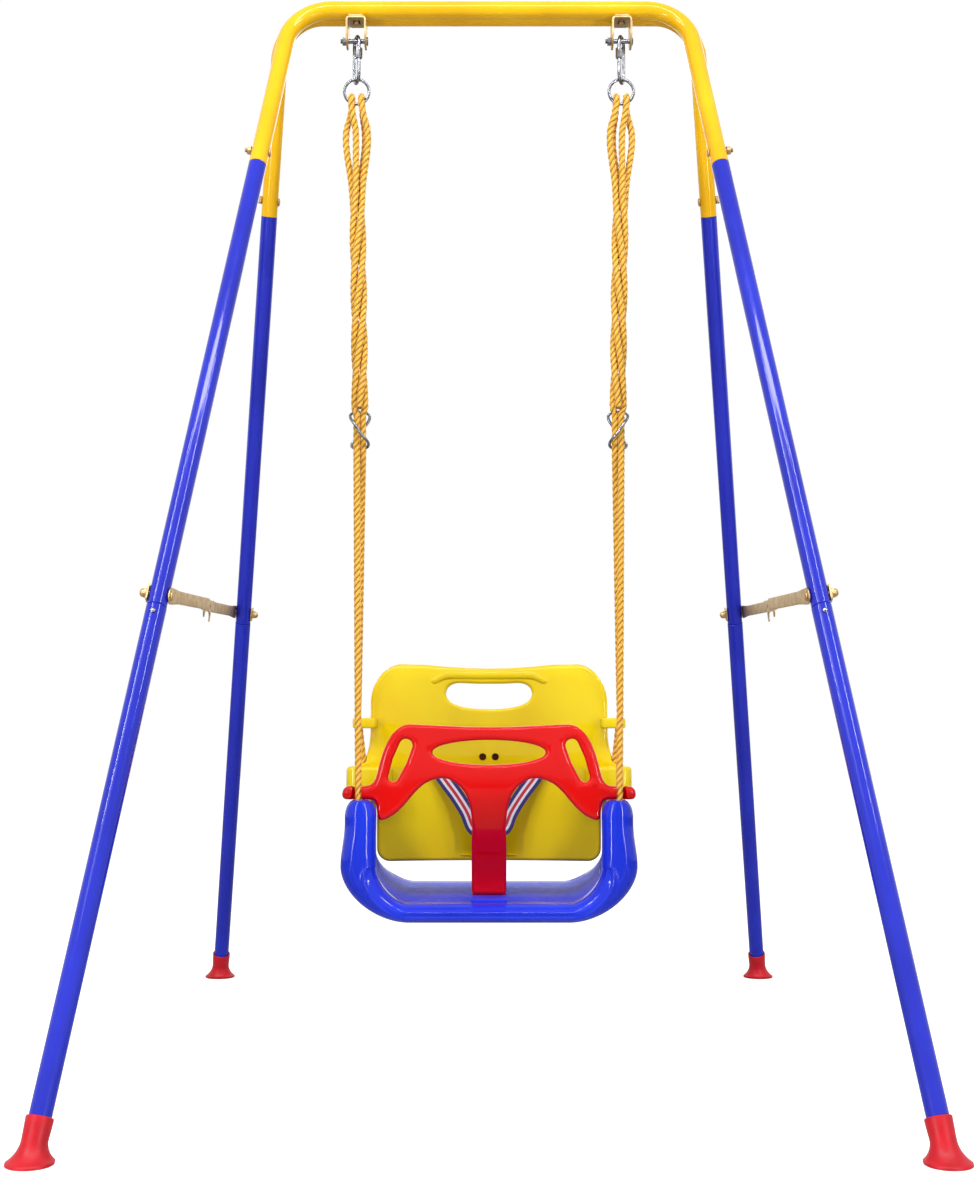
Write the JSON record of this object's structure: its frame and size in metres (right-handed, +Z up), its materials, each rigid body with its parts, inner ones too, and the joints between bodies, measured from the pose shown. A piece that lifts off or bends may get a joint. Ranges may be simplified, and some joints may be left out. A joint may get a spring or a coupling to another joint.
{
  "type": "baby swing set",
  "caption": "Folding A-frame toddler swing: bent-tube stand with hinged braces and a bucket seat with backrest and front guard hung on ropes.",
  "frame": {"origin": "on the floor, midway between the four feet", "axes": "+Z up, +X to the right of a viewer facing the seat's front, +Y from the front feet to the rear feet"},
  "size_m": [0.9354, 1.208, 1.3624],
  "materials": {
    "yellow_tube": "gloss powder coat",
    "blue_tube": "gloss powder coat",
    "foot": "moulded, satin",
    "zinc": "yellow zinc plate",
    "steel": "bright plated",
    "rope": "braided",
    "blue_plastic": "blow moulded",
    "yellow_plastic": "moulded",
    "red_plastic": "moulded",
    "webbing": "woven",
    "black_plastic": "moulded"
  },
  "bodies": {
    "front_frame": {"front_top_tube": "yellow_tube", "front_upper_leg_right": "blue_tube", "front_lower_leg_right": "blue_tube", "front_foot_right": "foot", "front_joint_bolt_right": "zinc", "front_brace_bolt_right": "zinc", "hanger_bracket_right": "zinc", "hanger_pin_right": "steel", "tube_clip_right": "zinc", "hanger_bolt_right": "zinc", "front_upper_leg_left": "blue_tube", "front_lower_leg_left": "blue_tube", "front_foot_left": "foot", "front_joint_bolt_left": "zinc", "front_brace_bolt_left": "zinc", "hanger_bracket_left": "zinc", "hanger_pin_left": "steel", "tube_clip_left": "zinc", "hanger_bolt_left": "zinc"},
    "rear_frame": {"rear_top_tube": "yellow_tube", "rear_upper_leg_right": "blue_tube", "rear_lower_leg_right": "blue_tube", "rear_foot_right": "foot", "rear_joint_bolt_right": "zinc", "rear_brace_bolt_right": "zinc", "rear_upper_leg_left": "blue_tube", "rear_lower_leg_left": "blue_tube", "rear_foot_left": "foot", "rear_joint_bolt_left": "zinc", "rear_brace_bolt_left": "zinc"},
    "swing": {"seat_base": "blue_plastic", "backrest": "yellow_plastic", "harness_buckle": "black_plastic", "quick_link_right": "steel", "rope_ring_right": "steel", "front_rope_right": "rope", "rear_rope_right": "rope", "rope_adjuster_right": "steel", "harness_strap_right": "webbing", "quick_link_left": "steel", "rope_ring_left": "steel", "front_rope_left": "rope", "rear_rope_left": "rope", "rope_adjuster_left": "steel", "harness_strap_left": "webbing"},
    "guard": {"front_guard": "red_plastic"},
    "front_link_right": {"brace_front_link_right": "zinc", "brace_rivet_right": "zinc"},
    "rear_link_right": {"brace_rear_link_right": "zinc"},
    "catch_right": {"brace_catch_right": "zinc"},
    "sleeve_right": {"link_sleeve_right": "steel"},
    "front_button_right": {"front_button_right": "steel"},
    "rear_button_right": {"rear_button_right": "steel"},
    "front_link_left": {"brace_front_link_left": "zinc", "brace_rivet_left": "zinc"},
    "rear_link_left": {"brace_rear_link_left": "zinc"},
    "catch_left": {"brace_catch_left": "zinc"},
    "sleeve_left": {"link_sleeve_left": "steel"},
    "front_button_left": {"front_button_left": "steel"},
    "rear_button_left": {"rear_button_left": "steel"}
  },
  "joints": [
    {"name": "fold", "type": "hinge", "parent": "front_frame", "child": "rear_frame", "pos_m": [0, 0.0114, 1.3495], "axis": [-1, 0, 0], "range_deg": [0, 36]},
    {"name": "swing", "type": "hinge", "parent": "front_frame", "child": "swing", "pos_m": [0, -0.0114, 1.309], "axis": [1, 0, 0], "range_deg": [-40, 40]},
    {"name": "guard_lift", "type": "slide", "parent": "swing", "child": "guard", "axis": [0, 0.2198, 0.9755], "range_m": [0, 0.15]},
    {"name": "front_link_right", "type": "hinge", "parent": "front_frame", "child": "front_link_right", "pos_m": [0.36454, -0.3412, 0.56675], "axis": [-0.9925, 0, -0.1219], "range_deg": [0, 86.04]},
    {"name": "rear_link_right", "type": "hinge", "parent": "rear_frame", "child": "rear_link_right", "pos_m": [0.36901, 0.33325, 0.58564], "axis": [0.989, 0, 0.1478], "range_deg": [0, 101.91]},
    {"name": "catch_right", "type": "hinge", "parent": "front_link_right", "child": "catch_right", "pos_m": [0.36354, -0.03796, 0.57487], "axis": [-0.9925, 0, -0.1219], "range_deg": [0, 20], "stiffness_Nm_per_rad": 0.02, "springref_deg": -17.19},
    {"name": "sleeve_right", "type": "slide", "parent": "swing", "child": "sleeve_right", "axis": [0, 0, -1], "range_m": [0, 0.013]},
    {"name": "front_button_right", "type": "slide", "parent": "front_frame", "child": "front_button_right", "axis": [0, 0.9215, -0.3883], "range_m": [0, 0.0024], "stiffness_N_per_m": 600, "springref_m": -0.003},
    {"name": "rear_button_right", "type": "slide", "parent": "rear_frame", "child": "rear_button_right", "axis": [0, -0.9215, -0.3883], "range_m": [0, 0.0024], "stiffness_N_per_m": 600, "springref_m": -0.003},
    {"name": "front_link_left", "type": "hinge", "parent": "front_frame", "child": "front_link_left", "pos_m": [-0.36454, -0.3412, 0.56675], "axis": [-0.9925, 0, 0.1219], "range_deg": [0, 86.04]},
    {"name": "rear_link_left", "type": "hinge", "parent": "rear_frame", "child": "rear_link_left", "pos_m": [-0.36901, 0.33325, 0.58564], "axis": [0.989, 0, -0.1478], "range_deg": [0, 101.91]},
    {"name": "catch_left", "type": "hinge", "parent": "front_link_left", "child": "catch_left", "pos_m": [-0.36354, -0.03796, 0.57487], "axis": [-0.9925, 0, 0.1219], "range_deg": [0, 20], "stiffness_Nm_per_rad": 0.02, "springref_deg": -17.19},
    {"name": "sleeve_left", "type": "slide", "parent": "swing", "child": "sleeve_left", "axis": [0, 0, -1], "range_m": [0, 0.013]},
    {"name": "front_button_left", "type": "slide", "parent": "front_frame", "child": "front_button_left", "axis": [0, 0.9215, -0.3883], "range_m": [0, 0.0024], "stiffness_N_per_m": 600, "springref_m": -0.003},
    {"name": "rear_button_left", "type": "slide", "parent": "rear_frame", "child": "rear_button_left", "axis": [0, -0.9215, -0.3883], "range_m": [0, 0.0024], "stiffness_N_per_m": 600, "springref_m": -0.003}
  ],
  "couplings": [
    {"joint": "front_link_right", "follows": "fold", "ratio": 2.3845},
    {"joint": "rear_link_right", "follows": "fold", "ratio": 2.8252},
    {"joint": "front_link_left", "follows": "fold", "ratio": 2.3845},
    {"joint": "rear_link_left", "follows": "fold", "ratio": 2.8252}
  ]
}
